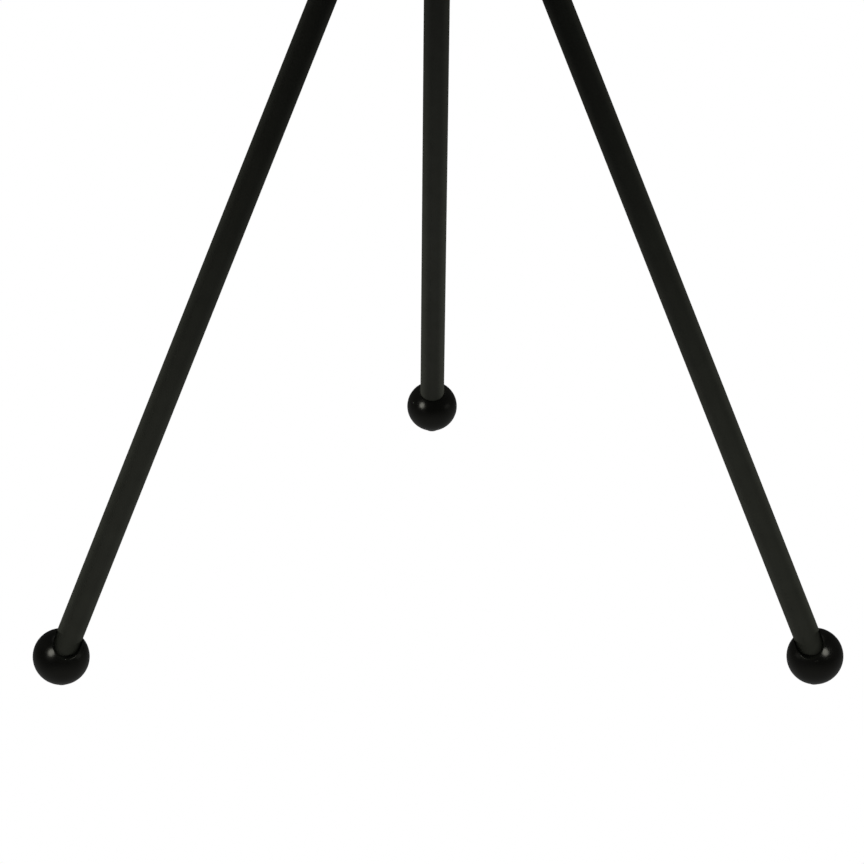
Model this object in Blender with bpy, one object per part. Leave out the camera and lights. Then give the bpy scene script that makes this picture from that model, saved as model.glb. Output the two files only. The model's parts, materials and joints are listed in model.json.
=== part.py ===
"""Tripod hunting stand: one-piece tube legs on ball feet, a hinged hub, a sliding column and a padded yoke.

Metres, +Z up. The origin is on the ground, in the middle of the stance's length and width, and the stand's
axis is in front of it. The legs stand splayed, as in use, with two legs in front (-Y) and one behind (+Y), and
the yoke's arms stand at -X and +X.
"""

import math

import bmesh
import bpy
from mathutils import Vector

MM = 0.001
GAP = 0.3 * MM  # clearance between a piece and the piece it fits in or rests on

# Driving dimensions: the stance
BALL_R = 20 * MM
TUBE_R = 9.5 * MM
TUBE_WALL = 1.5 * MM
FOOT_CIRCLE_R = 306 * MM  # from the stand's axis to the centre of each ball foot
LEG_TILT = math.radians(25.5)  # from vertical
LEG_AZIMUTHS = {"left": math.radians(-150), "right": math.radians(-30), "rear": math.radians(90)}
PIVOT_CIRCLE_R = 34 * MM  # from the stand's axis to each leg's pivot bolt
AXIS_Y = -FOOT_CIRCLE_R / 4  # puts the middle of the three feet's length at Y = 0

# Driving dimensions: the hub and the column
CORE_R = 22 * MM
CORE_BELOW, CORE_ABOVE = 22 * MM, 24 * MM  # from the height of the pivot bolts
COLUMN_R = 11 * MM
COLUMN_WALL = 1.5 * MM
COLUMN_BOTTOM, COLUMN_TOP = 470 * MM, 700 * MM

# Driving dimensions: the head
SWIVEL_R = 18 * MM
SWIVEL_HEIGHT = 14 * MM
TILT_AXIS_ABOVE_SWIVEL = 24 * MM
YOKE_WIDTH = 28 * MM  # along Y
YOKE_STRAP = 3 * MM
YOKE_FLOOR_HALF = 26 * MM
YOKE_BEND_R = 12 * MM
YOKE_FLARE = math.radians(12)
YOKE_ARM = 60 * MM
YOKE_TIP_R, YOKE_TIP_TURN = 12 * MM, math.radians(48)
LINER = 5 * MM

# Worked out from the driving dimensions
PAD_R, PAD_PROUD = 4.5 * MM, 0.4 * MM  # the glide pad under each ball
BALL_Z = BALL_R + PAD_PROUD
PIVOT_Z = BALL_Z + (FOOT_CIRCLE_R - PIVOT_CIRCLE_R) / math.tan(LEG_TILT)
LEG_LENGTH = (FOOT_CIRCLE_R - PIVOT_CIRCLE_R) / math.sin(LEG_TILT)  # from pivot bolt to ball centre
TUBE_BORE = TUBE_R - TUBE_WALL
BOLT_R = 3 * MM  # M6
STUD_R = 4 * MM  # M8
HEAD_Z = COLUMN_TOP + GAP + 8 * MM  # top of the column head's flange
SWIVEL_Z = HEAD_Z + GAP + 1.5 * MM + GAP  # over the pan washer
TILT_Z = SWIVEL_Z + SWIVEL_HEIGHT + TILT_AXIS_ABOVE_SWIVEL

LARGE_STEPS, SMALL_STEPS = 24, 14  # round faces' sides


def clear_scene():
    for obj in list(bpy.data.objects):
        bpy.data.objects.remove(obj, do_unlink=True)


def finish(name, color, roughness, metallic=0.0):
    material = bpy.data.materials.new(name)
    material.use_nodes = True
    shader = material.node_tree.nodes["Principled BSDF"]
    shader.inputs["Base Color"].default_value = (*color, 1)
    shader.inputs["Roughness"].default_value = roughness
    shader.inputs["Metallic"].default_value = metallic
    return material


def frame(name, location, rotation=(0, 0, 0), parent=None):
    """An empty whose axes place the pieces under it."""
    empty = bpy.data.objects.new(name, None)
    bpy.context.scene.collection.objects.link(empty)
    empty.location = location
    empty.rotation_euler = rotation
    empty.parent = parent
    return empty


def place(name, bm, material, parent=None, location=(0, 0, 0), rotation=(0, 0, 0)):
    """Makes the bmesh an object, smooth over its round faces and sharp at its corners."""
    bmesh.ops.recalc_face_normals(bm, faces=bm.faces)
    mesh = bpy.data.meshes.new(name)
    bm.to_mesh(mesh)
    bm.free()
    mesh.shade_smooth()
    mesh.set_sharp_from_angle(angle=math.radians(30))
    mesh.materials.append(material)
    obj = bpy.data.objects.new(name, mesh)
    bpy.context.scene.collection.objects.link(obj)
    obj.parent = parent
    obj.location = location
    obj.rotation_euler = rotation
    return obj


def turned(profile, steps=SMALL_STEPS):
    """A solid turned about Z. Its (radius, height) profile is a loop, or starts and ends on the axis."""
    bm = bmesh.new()
    verts = [bm.verts.new((radius, 0, height)) for radius, height in profile]
    edges = [bm.edges.new(pair) for pair in zip(verts, verts[1:])]
    if profile[0][0] > 0 or profile[-1][0] > 0:
        edges.append(bm.edges.new((verts[-1], verts[0])))
    bmesh.ops.spin(bm, geom=verts + edges, axis=(0, 0, 1), angle=math.tau, steps=steps, use_merge=True)
    bmesh.ops.remove_doubles(bm, verts=bm.verts, dist=1e-7)
    return bm


def tube(inner, outer, low, high, steps=SMALL_STEPS):
    return turned([(inner, low), (outer, low), (outer, high), (inner, high)], steps)


def rod(radius, low, high, steps=SMALL_STEPS, chamfer=0.0):
    profile = [(0, low), (radius - chamfer, low), (radius, low + chamfer)]
    profile += [(radius, high - chamfer), (radius - chamfer, high), (0, high)]
    return turned(profile if chamfer else [profile[0], profile[2], profile[3], profile[5]], steps)


def prism(outline, low, high, chamfer=0.0):
    """The outline of (x, y) points extruded along Z, with both ends' edges chamfered."""
    bm = bmesh.new()
    face = bm.faces.new([bm.verts.new((x, y, low)) for x, y in outline])
    moved = bmesh.ops.extrude_face_region(bm, geom=[face])["geom"]
    moved = [item for item in moved if isinstance(item, bmesh.types.BMVert)]
    bmesh.ops.translate(bm, verts=moved, vec=(0, 0, high - low))
    if chamfer:
        ends = [e for e in bm.edges if abs(e.verts[0].co.z - e.verts[1].co.z) < 1e-7]
        bmesh.ops.bevel(bm, geom=ends, offset=chamfer, segments=1, affect="EDGES")
    return bm


def arc(centre, radius, start, end, pieces):
    """Points on an arc, both ends included, with the angles in degrees."""
    angles = [math.radians(start + (end - start) * i / pieces) for i in range(pieces + 1)]
    return [(centre[0] + radius * math.cos(a), centre[1] + radius * math.sin(a)) for a in angles]


def fluted(radius, depth, lobes):
    """The outline of a grip with rounded lobes."""
    count = lobes * 6
    outline = []
    for i in range(count):
        angle = math.tau * i / count
        r = radius - depth * (0.5 - 0.5 * math.cos(lobes * angle))
        outline.append((r * math.cos(angle), r * math.sin(angle)))
    return outline


def hexagon(flats):
    """A hexagon by its width across flats."""
    return arc((0, 0), flats / math.sqrt(3), 0, 300, 5)


def combine(obj, helpers, operation):
    """Joins the helpers to the object, or cuts them from it. They aren't pieces, so they don't render."""
    group = bpy.data.collections.new(f"{obj.name}_{operation.lower()}")
    for helper in helpers:
        group.objects.link(helper)
        helper.hide_render = True
        helper.display_type = "WIRE"
    modifier = obj.modifiers.new(operation.title(), "BOOLEAN")
    modifier.operation = operation
    modifier.operand_type = "COLLECTION"
    modifier.collection = group
    modifier.solver = "EXACT"


clear_scene()
MATTE_BLACK = finish("matte_black_coating", (0.016, 0.017, 0.014), 0.55)
GLOSS_BLACK = finish("gloss_black_ball", (0.006, 0.006, 0.005), 0.16)
RUBBER = finish("black_rubber", (0.02, 0.02, 0.02), 0.8)
MOULDED = finish("moulded_black", (0.02, 0.02, 0.019), 0.45)
NYLON = finish("natural_nylon", (0.62, 0.6, 0.54), 0.5)
BRASS = finish("brass", (0.72, 0.55, 0.28), 0.35, 1.0)
ZINC = finish("zinc_steel", (0.6, 0.6, 0.6), 0.35, 1.0)
BLACK_STEEL = finish("black_oxide_steel", (0.04, 0.04, 0.042), 0.4, 0.8)

UPRIGHT = (math.radians(90), 0, 0)  # turns an XY outline into the XZ plane, thickness along Y
SIDEWAYS = (math.radians(90), 0, math.radians(90))  # turns an XY outline into the YZ plane, thickness along X
ALONG_X = (0, math.radians(90), 0)


# ---- legs ------------------------------------------------------------------------------------------
# In a leg's frame the pivot bolt is at the origin, along Y, and the tube runs down along -Z to the ball foot.

MOUTH_Z = 17 * MM  # where the ball's top is cut flat, from its centre
BALL_BORE_R = TUBE_R + 0.5 * MM
BALL_BORE_END = 0.0
SLOT_HALF, SLOT_FLOOR = TUBE_R + GAP, 3 * MM  # the ball is open on one side, down to the slot's round floor
SLOT_TURNS = {"left": math.radians(60), "right": math.radians(-60), "rear": 0.0}  # from facing outward
INSERT_R, INSERT_END = 5.5 * MM, -13 * MM
PLUG_R = TUBE_BORE - GAP
TONGUE_HALF, TONGUE_HALF_WIDTH, EYE_R = 6 * MM, 8.5 * MM, 10 * MM
COLLAR_R, COLLAR_TOP, COLLAR_SEAT = 10.5 * MM, -21 * MM, -30 * MM
WASHER = 0.8 * MM
EAR = 6 * MM
EAR_R = 11 * MM
EAR_INNER = TONGUE_HALF + WASHER + 2 * GAP  # the ear's inner face, from the leg's mid-plane
EAR_OUTER = EAR_INNER + EAR


def foot_ball(side, leg, ground):
    """A ball bored for the tube's end and the insert, with a slot down one side and a pocket for the pad."""
    mouth_r = math.sqrt(BALL_R**2 - MOUTH_Z**2)
    lip_angle = math.degrees(math.asin(MOUTH_Z / BALL_R))
    profile = arc((0, 0), BALL_R, -90, lip_angle, 10)
    profile[0] = (0, -BALL_R)
    profile += [(BALL_BORE_R, MOUTH_Z - 0.6 * MM), (BALL_BORE_R, BALL_BORE_END)]
    profile += [(INSERT_R + GAP, BALL_BORE_END), (INSERT_R + GAP, INSERT_END), (0, INSERT_END)]
    assert mouth_r > BALL_BORE_R
    centre = (0, 0, -LEG_LENGTH)
    ball = place(f"{side}_foot_ball", turned(profile, LARGE_STEPS), GLOSS_BLACK, leg, centre)
    pocket = rod(PAD_R + GAP, -BALL_R - 2 * MM, -BALL_R + 1.4 * MM)
    top = -SLOT_FLOOR - SLOT_HALF
    outline = [(-30 * MM, -SLOT_HALF), *arc((top, 0), SLOT_HALF, -90, 90, 12), (-30 * MM, SLOT_HALF)]
    turn = (0, math.radians(90), SLOT_TURNS[side])
    slot = place(f"{side}_ball_slot", prism(outline, 0, 30 * MM), GLOSS_BLACK, leg, centre, turn)
    combine(ball, [place(f"{side}_pad_pocket", pocket, RUBBER, ground), slot], "DIFFERENCE")


def foot_fixings(side, leg, ground):
    """What holds the ball on the tube: a plug in the tube, an insert in the ball and a stud through both."""
    centre = (0, 0, -LEG_LENGTH)
    tube_end = BALL_BORE_END + GAP
    plug = tube(STUD_R + GAP, PLUG_R, tube_end, tube_end + 24 * MM)
    insert = tube(STUD_R + GAP, INSERT_R, INSERT_END + GAP, BALL_BORE_END - GAP)
    stud = rod(STUD_R, INSERT_END + 1.5 * MM, tube_end + 22 * MM, chamfer=0.6 * MM)
    pad = rod(PAD_R, -BALL_R - PAD_PROUD, -BALL_R + 1.1 * MM)
    place(f"{side}_foot_plug", plug, NYLON, leg, centre)
    place(f"{side}_foot_insert", insert, BRASS, leg, centre)
    place(f"{side}_foot_stud", stud, ZINC, leg, centre)
    place(f"{side}_foot_pad", pad, RUBBER, ground)


def leg_tube(side, leg):
    low = -LEG_LENGTH + BALL_BORE_END + GAP
    place(f"{side}_leg_tube", tube(TUBE_BORE, TUBE_R, low, COLLAR_SEAT, LARGE_STEPS), MATTE_BLACK, leg)


def heel():
    """The knuckle's heel in the leg's frame. Its face stands upright against the core on a splayed leg."""
    face_x = CORE_R + GAP - PIVOT_CIRCLE_R
    corners = [(-4 * MM, 14 * MM), (face_x, 14 * MM), (face_x, 5 * MM)]
    cos, sin = math.cos(LEG_TILT), math.sin(LEG_TILT)
    return [(x * cos + z * sin, z * cos - x * sin) for x, z in corners]


def knuckle(side, leg):
    """The leg's top fitting: a spigot in the tube, a collar on its end and a tongue on the pivot bolt."""
    low = COLLAR_SEAT - 26 * MM
    body = [(0, low), (PLUG_R - 0.5 * MM, low), (PLUG_R, low + MM)]
    body += [(PLUG_R, COLLAR_SEAT + GAP), (COLLAR_R, COLLAR_SEAT + GAP), (COLLAR_R, COLLAR_TOP - 1.2 * MM)]
    body += [(COLLAR_R - 1.2 * MM, COLLAR_TOP), (0, COLLAR_TOP)]
    piece = place(f"{side}_leg_knuckle", turned(body, LARGE_STEPS), MATTE_BLACK, leg)
    root = COLLAR_TOP - 3 * MM
    outline = [(TONGUE_HALF_WIDTH, root), *arc((0, 0), EYE_R, 0, 60, 4), *heel()]
    outline += [(-EYE_R, 0), (-TONGUE_HALF_WIDTH, root)]
    tongue = prism(outline, -TONGUE_HALF, TONGUE_HALF)
    tongue = place(f"{side}_tongue", tongue, MATTE_BLACK, leg, rotation=UPRIGHT)
    hole = place(f"{side}_eye_hole", rod(BOLT_R + GAP, -20 * MM, 20 * MM), ZINC, leg, rotation=UPRIGHT)
    combine(piece, [tongue], "UNION")
    combine(piece, [hole], "DIFFERENCE")


def pivot_fixings(side, pivot):
    """The bolt, nut and friction washers that hold a knuckle between its two ears. They stay with the hub."""
    head_face = -EAR_OUTER - GAP
    shank_end = EAR_OUTER + GAP + 7 * MM
    profile = [(0, head_face - 5 * MM), (4.4 * MM, head_face - 5 * MM), (5.2 * MM, head_face - 3.5 * MM)]
    profile += [(5.2 * MM, head_face), (BOLT_R, head_face), (BOLT_R, shank_end), (0, shank_end)]
    along_y = (math.radians(-90), 0, 0)
    bolt = place(f"{side}_pivot_bolt", turned(profile), BLACK_STEEL, pivot, rotation=along_y)
    socket = prism(hexagon(4 * MM), head_face - 6 * MM, head_face - 2.5 * MM)
    combine(bolt, [place(f"{side}_bolt_socket", socket, BLACK_STEEL, pivot, rotation=along_y)], "DIFFERENCE")
    nut_face = EAR_OUTER + GAP
    nut = prism(hexagon(10 * MM), nut_face, nut_face + 6 * MM, 0.5 * MM)
    nut = place(f"{side}_pivot_nut", nut, ZINC, pivot, rotation=along_y)
    thread = rod(BOLT_R + GAP, nut_face - MM, nut_face + 8 * MM)
    combine(nut, [place(f"{side}_nut_thread", thread, ZINC, pivot, rotation=along_y)], "DIFFERENCE")
    for where, face in (("front", TONGUE_HALF + GAP), ("back", -TONGUE_HALF - GAP - WASHER)):
        washer = tube(BOLT_R + GAP, 9 * MM, face, face + WASHER)
        place(f"{side}_pivot_washer_{where}", washer, NYLON, pivot, rotation=along_y)


def leg_assembly(side, azimuth, hub_frame):
    at = (PIVOT_CIRCLE_R * math.cos(azimuth), PIVOT_CIRCLE_R * math.sin(azimuth), 0)
    pivot = frame(f"{side}_pivot_frame", at, (0, 0, azimuth), hub_frame)
    leg = frame(f"{side}_leg_frame", (0, 0, 0), (0, -LEG_TILT, 0), pivot)
    ground = frame(f"{side}_ground_frame", (0, 0, -LEG_LENGTH), (0, LEG_TILT, 0), leg)
    leg_tube(side, leg)
    knuckle(side, leg)
    foot_ball(side, leg, ground)
    foot_fixings(side, leg, ground)
    pivot_fixings(side, pivot)
    return pivot


# ---- hub -----------------------------------------------------------------------------------------
# The hub's frame is on the stand's axis at the height of the pivot bolts.

BUSH_WALL = 2 * MM
BUSH_BORE = COLUMN_R + GAP
BUSH_R = BUSH_BORE + BUSH_WALL
CLAMP_Z = 8 * MM
BOSS_END = 31 * MM
BOSS_R = 9 * MM
SHOE_R = STUD_R


def ear_outline():
    inner = -20 * MM  # inside the core, short of its bore
    return [(inner, -EAR_R), *arc((0, 0), EAR_R, -90, 90, 8), (-12 * MM, 15 * MM), (inner, 15 * MM)]


def hub(pivots, hub_frame, clamp_frame):
    """A round core, with a pair of ears for each leg and a boss for the clamp screw."""
    bore, low, high = BUSH_R + GAP, -CORE_BELOW, CORE_ABOVE
    profile = [(bore, low), (CORE_R - 1.5 * MM, low), (CORE_R, low + 1.5 * MM)]
    profile += [(CORE_R, high - 1.5 * MM), (CORE_R - 1.5 * MM, high), (bore, high)]
    body = place("hub", turned(profile, LARGE_STEPS), MATTE_BLACK, hub_frame)
    boss = rod(BOSS_R, 16 * MM, BOSS_END, chamfer=MM)
    added, cut = [place("clamp_boss", boss, MATTE_BLACK, clamp_frame)], []
    for side, pivot in pivots.items():
        for number, low in enumerate((EAR_INNER, -EAR_OUTER)):
            ear = prism(ear_outline(), low, low + EAR, 0.8 * MM)
            added.append(place(f"{side}_ear_{number}", ear, MATTE_BLACK, pivot, rotation=UPRIGHT))
        hole = rod(BOLT_R + GAP, -20 * MM, 20 * MM)
        cut.append(place(f"{side}_ear_hole", hole, ZINC, pivot, rotation=UPRIGHT))
    cut.append(place("clamp_thread", rod(STUD_R + GAP, BUSH_BORE, BOSS_END + MM), ZINC, clamp_frame))
    combine(body, added, "UNION")
    combine(body, cut, "DIFFERENCE")


def column_bush(hub_frame, clamp_frame):
    """A flanged nylon sleeve that the column slides in, with a side hole for the clamp shoe."""
    flange = CORE_ABOVE + GAP
    profile = [(BUSH_BORE, -CORE_BELOW), (BUSH_R, -CORE_BELOW), (BUSH_R, flange), (19 * MM, flange)]
    profile += [(19 * MM, flange + 1.5 * MM), (18 * MM, flange + 2.5 * MM), (BUSH_BORE, flange + 2.5 * MM)]
    bush = place("column_bush", turned(profile, LARGE_STEPS), NYLON, hub_frame)
    side_hole = place("bush_side_hole", rod(SHOE_R + GAP, 5 * MM, BUSH_R + 2 * MM), NYLON, clamp_frame)
    combine(bush, [side_hole], "DIFFERENCE")


def column_clamp(clamp_frame):
    """The shoe, screw and fluted knob that lock the column. The clamp frame's +Z points out of the hub."""
    tip = BUSH_R + 2 * GAP
    place("clamp_shoe", rod(SHOE_R, BUSH_BORE, tip - GAP), BRASS, clamp_frame)
    place("clamp_screw", rod(STUD_R, tip, 46 * MM, chamfer=0.5 * MM), BLACK_STEEL, clamp_frame)
    knob = prism(fluted(17 * MM, 3.2 * MM, 7), 38 * MM, 52 * MM, 1.6 * MM)
    knob = place("clamp_knob", knob, MOULDED, clamp_frame)
    neck = place("clamp_knob_neck", rod(8 * MM, 34 * MM, 40 * MM, chamfer=0.5 * MM), MOULDED, clamp_frame)
    hole = place("clamp_knob_bore", rod(STUD_R + GAP, 33 * MM, 46.3 * MM), MOULDED, clamp_frame)
    combine(knob, [neck], "UNION")
    combine(knob, [hole], "DIFFERENCE")


# ---- column --------------------------------------------------------------------------------------
# The column, the pan pivot and its lock are placed in the stand's frame, on the ground under the hub.


def column(stand):
    """The tube, the end cap that keeps it in the hub, and the head with the stud that the yoke pans on."""
    bore = COLUMN_R - COLUMN_WALL
    spigot = bore - GAP
    place("column_tube", tube(bore, COLUMN_R, COLUMN_BOTTOM, COLUMN_TOP, LARGE_STEPS), MATTE_BLACK, stand)
    seat = COLUMN_BOTTOM - GAP
    cap = [(0, seat - 4 * MM), (11 * MM, seat - 4 * MM), (13 * MM, seat - 2.5 * MM), (13 * MM, seat)]
    cap += [(spigot, seat), (spigot, seat + 14 * MM), (0, seat + 14 * MM)]
    place("column_end_cap", turned(cap, LARGE_STEPS), MOULDED, stand)
    low = COLUMN_TOP + GAP
    head = [(0, low - 22 * MM), (spigot, low - 22 * MM), (spigot, low), (14 * MM, low), (15 * MM, low + MM)]
    head += [(15 * MM, HEAD_Z - MM), (14 * MM, HEAD_Z), (STUD_R, HEAD_Z), (STUD_R, HEAD_Z + 25 * MM)]
    head += [(0, HEAD_Z + 25 * MM)]
    place("column_head", turned(head, LARGE_STEPS), MATTE_BLACK, stand)


# ---- pan and tilt --------------------------------------------------------------------------------
# The tilt frame is on the tilt bolt's axis, which lies along X.

TILT_TONGUE_HALF = 7 * MM
TILT_EAR_INNER = TILT_TONGUE_HALF + WASHER + 2 * GAP
TILT_EAR_OUTER = TILT_EAR_INNER + 6 * MM
TILT_EAR_HALF = 10 * MM
PLATE_LOW, PLATE_HIGH = 13.5 * MM, 18.5 * MM  # the tilt block's top plate, from the tilt axis
SCREW_X = 13 * MM
SCREW_R, SCREW_HEAD_R = 2.5 * MM, 4.8 * MM


def pan_pivot(stand, tilt):
    """The swivel base that turns on the column head's stud, its washer and nut, and its locking screw."""
    washer = tube(STUD_R + GAP, 13 * MM, HEAD_Z + GAP, SWIVEL_Z - GAP, LARGE_STEPS)
    place("pan_washer", washer, NYLON, stand)
    top = SWIVEL_Z + SWIVEL_HEIGHT
    profile = [(STUD_R + GAP, SWIVEL_Z), (SWIVEL_R - MM, SWIVEL_Z), (SWIVEL_R, SWIVEL_Z + MM)]
    profile += [(SWIVEL_R, top - MM), (SWIVEL_R - MM, top), (STUD_R + GAP, top)]
    base = place("swivel_base", turned(profile, LARGE_STEPS), MATTE_BLACK, stand)
    foot = -TILT_AXIS_ABOVE_SWIVEL - 2 * MM
    outline = [(TILT_EAR_HALF, foot), *arc((0, 0), TILT_EAR_HALF, 0, 180, 10), (-TILT_EAR_HALF, foot)]
    ears = []
    for number, low in enumerate((TILT_EAR_INNER, -TILT_EAR_OUTER)):
        ear = prism(outline, low, low + 6 * MM, 0.6 * MM)
        ears.append(place(f"tilt_ear_{number}", ear, MATTE_BLACK, tilt, rotation=SIDEWAYS))
    tilt_hole = rod(BOLT_R + GAP, -20 * MM, 20 * MM)
    tilt_hole = place("tilt_ear_hole", tilt_hole, ZINC, tilt, rotation=SIDEWAYS)
    lock = frame("pan_lock_frame", (0, 0, SWIVEL_Z + SWIVEL_HEIGHT / 2), UPRIGHT, stand)
    lock_hole = place("pan_lock_thread", rod(SCREW_R + GAP, 2 * MM, SWIVEL_R + MM), ZINC, lock)
    combine(base, ears, "UNION")
    combine(base, [tilt_hole, lock_hole], "DIFFERENCE")
    screw = [(0, STUD_R + 0.5 * MM), (SCREW_R, STUD_R + 0.5 * MM), (SCREW_R, 20.5 * MM), (5 * MM, 20.5 * MM)]
    screw += [(5 * MM, 22 * MM), (7 * MM, 22.5 * MM), (7 * MM, 29 * MM), (6.2 * MM, 30 * MM), (0, 30 * MM)]
    place("pan_lock_screw", turned(screw, LARGE_STEPS), BLACK_STEEL, lock)
    nut = place("pan_nut", prism(hexagon(13 * MM), top + GAP, top + 6.8 * MM, 0.5 * MM), ZINC, stand)
    thread = place("pan_nut_thread", rod(STUD_R + GAP, top - MM, top + 8 * MM), ZINC, stand)
    combine(nut, [thread], "DIFFERENCE")


def tilt_fixings(tilt):
    """The tilt bolt with its head at -X, two friction washers, and the fluted knob with its washer at +X."""
    head_face = -TILT_EAR_OUTER - GAP
    bolt = [(0, head_face - 4.5 * MM), (4.4 * MM, head_face - 4.5 * MM), (5.2 * MM, head_face - 3.2 * MM)]
    bolt += [(5.2 * MM, head_face), (BOLT_R, head_face), (BOLT_R, 27 * MM), (0, 27 * MM)]
    piece = place("tilt_bolt", turned(bolt), BLACK_STEEL, tilt, rotation=ALONG_X)
    socket = prism(hexagon(4 * MM), head_face - 6 * MM, head_face - 2.2 * MM)
    combine(piece, [place("tilt_bolt_socket", socket, BLACK_STEEL, tilt, rotation=ALONG_X)], "DIFFERENCE")
    for where, face in (("right", TILT_TONGUE_HALF + GAP), ("left", -TILT_TONGUE_HALF - GAP - WASHER)):
        washer = tube(BOLT_R + GAP, 9 * MM, face, face + WASHER)
        place(f"tilt_washer_{where}", washer, NYLON, tilt, rotation=ALONG_X)
    seat = TILT_EAR_OUTER + GAP
    washer = tube(BOLT_R + GAP, 6.2 * MM, seat, seat + 1.2 * MM)
    place("tilt_knob_washer", washer, ZINC, tilt, rotation=ALONG_X)
    low = seat + 1.2 * MM + GAP
    grip = prism(fluted(12 * MM, 2.4 * MM, 6), low + 2 * MM, low + 13 * MM, 1.3 * MM)
    knob = place("tilt_knob", grip, MOULDED, tilt, rotation=ALONG_X)
    neck = place("tilt_knob_neck", rod(7 * MM, low, low + 4 * MM), MOULDED, tilt, rotation=ALONG_X)
    hole = rod(BOLT_R + GAP, low - MM, 27.3 * MM)
    hole = place("tilt_knob_bore", hole, MOULDED, tilt, rotation=ALONG_X)
    combine(knob, [neck], "UNION")
    combine(knob, [hole], "DIFFERENCE")


def tilt_block(tilt):
    """The tongue between the tilt ears, with a plate on top that the yoke is screwed to."""
    eye = 9.5 * MM
    outline = [(eye, PLATE_LOW + MM), (-eye, PLATE_LOW + MM), *arc((0, 0), eye, 180, 360, 10)]
    block = prism(outline, -TILT_TONGUE_HALF, TILT_TONGUE_HALF)
    block = place("tilt_block", block, MATTE_BLACK, tilt, rotation=SIDEWAYS)
    half_x, half_y = 20 * MM, 12 * MM
    corners = [(half_x, half_y), (-half_x, half_y), (-half_x, -half_y), (half_x, -half_y)]
    plate = place("tilt_plate", prism(corners, PLATE_LOW, PLATE_HIGH, 0.8 * MM), MATTE_BLACK, tilt)
    hole = rod(BOLT_R + GAP, -20 * MM, 20 * MM)
    holes = [place("tilt_block_hole", hole, ZINC, tilt, rotation=SIDEWAYS)]
    for side, x in (("left", -SCREW_X), ("right", SCREW_X)):
        thread = rod(SCREW_R + GAP, PLATE_LOW - MM, PLATE_HIGH + MM)
        holes.append(place(f"{side}_plate_thread", thread, ZINC, tilt, (x, 0, 0)))
    combine(block, [plate], "UNION")
    combine(block, holes, "DIFFERENCE")


# ---- yoke ----------------------------------------------------------------------------------------
# The strap's centre line lies in the XZ plane of the tilt frame.

STRAP_Z = PLATE_HIGH + GAP + YOKE_STRAP / 2  # the floor's centre line
RIVET_R = 1.5 * MM
RIVETS_AT = (16 * MM, 44 * MM)  # along each arm, from the end of its bend


def half_path(inset, arm, tip):
    """The right half of the yoke's centre line, moved inwards by inset: its bend, arm and tip."""
    radius = YOKE_BEND_R - inset
    centre = Vector((YOKE_FLOOR_HALF, STRAP_Z + YOKE_BEND_R))
    turn = 90 - math.degrees(YOKE_FLARE)
    points = arc(centre, radius, -90, -90 + turn, 7)
    along = Vector((math.sin(YOKE_FLARE), math.cos(YOKE_FLARE)))
    start = Vector(points[-1])
    points.append(tuple(start + along * arm))
    if tip:
        outward = Vector((along.y, -along.x))
        centre = start + along * arm + outward * YOKE_TIP_R
        first = 180 - math.degrees(YOKE_FLARE)
        points += arc(centre, YOKE_TIP_R, first, first - math.degrees(YOKE_TIP_TURN), 4)[1:]
    return points


def ribbon(path, thickness):
    """The outline of a strap of this thickness along the path and its mirror image in X."""
    points = [Vector((-x, z)) for x, z in reversed(path)] + [Vector(point) for point in path]
    steps = [(after - before).normalized() for before, after in zip(points, points[1:])]
    outer, inner = [], []
    for point, step_in, step_out in zip(points, steps[:1] + steps, steps + steps[-1:]):
        along = (step_in + step_out).normalized()
        offset = Vector((along.y, -along.x)) * thickness / 2 / along.dot(step_out)
        outer.append(tuple(point + offset))
        inner.append(tuple(point - offset))
    return outer + inner[::-1]


def rivet_frames(tilt):
    """A frame on the strap's centre line for each rivet, with +Z pointing out of the yoke."""
    frames = {}
    start, end = [Vector(point) for point in half_path(0, YOKE_ARM, False)[-2:]]
    for side, sign in (("left", -1), ("right", 1)):
        turn = (0, sign * (math.radians(90) + YOKE_FLARE), 0)
        for number, distance in enumerate(RIVETS_AT, 1):
            at = start.lerp(end, distance / YOKE_ARM)
            name = f"{side}_rivet_{number}"
            frames[name] = frame(f"{name}_frame", (sign * at.x, 0, at.y), turn, tilt)
    return frames


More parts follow.
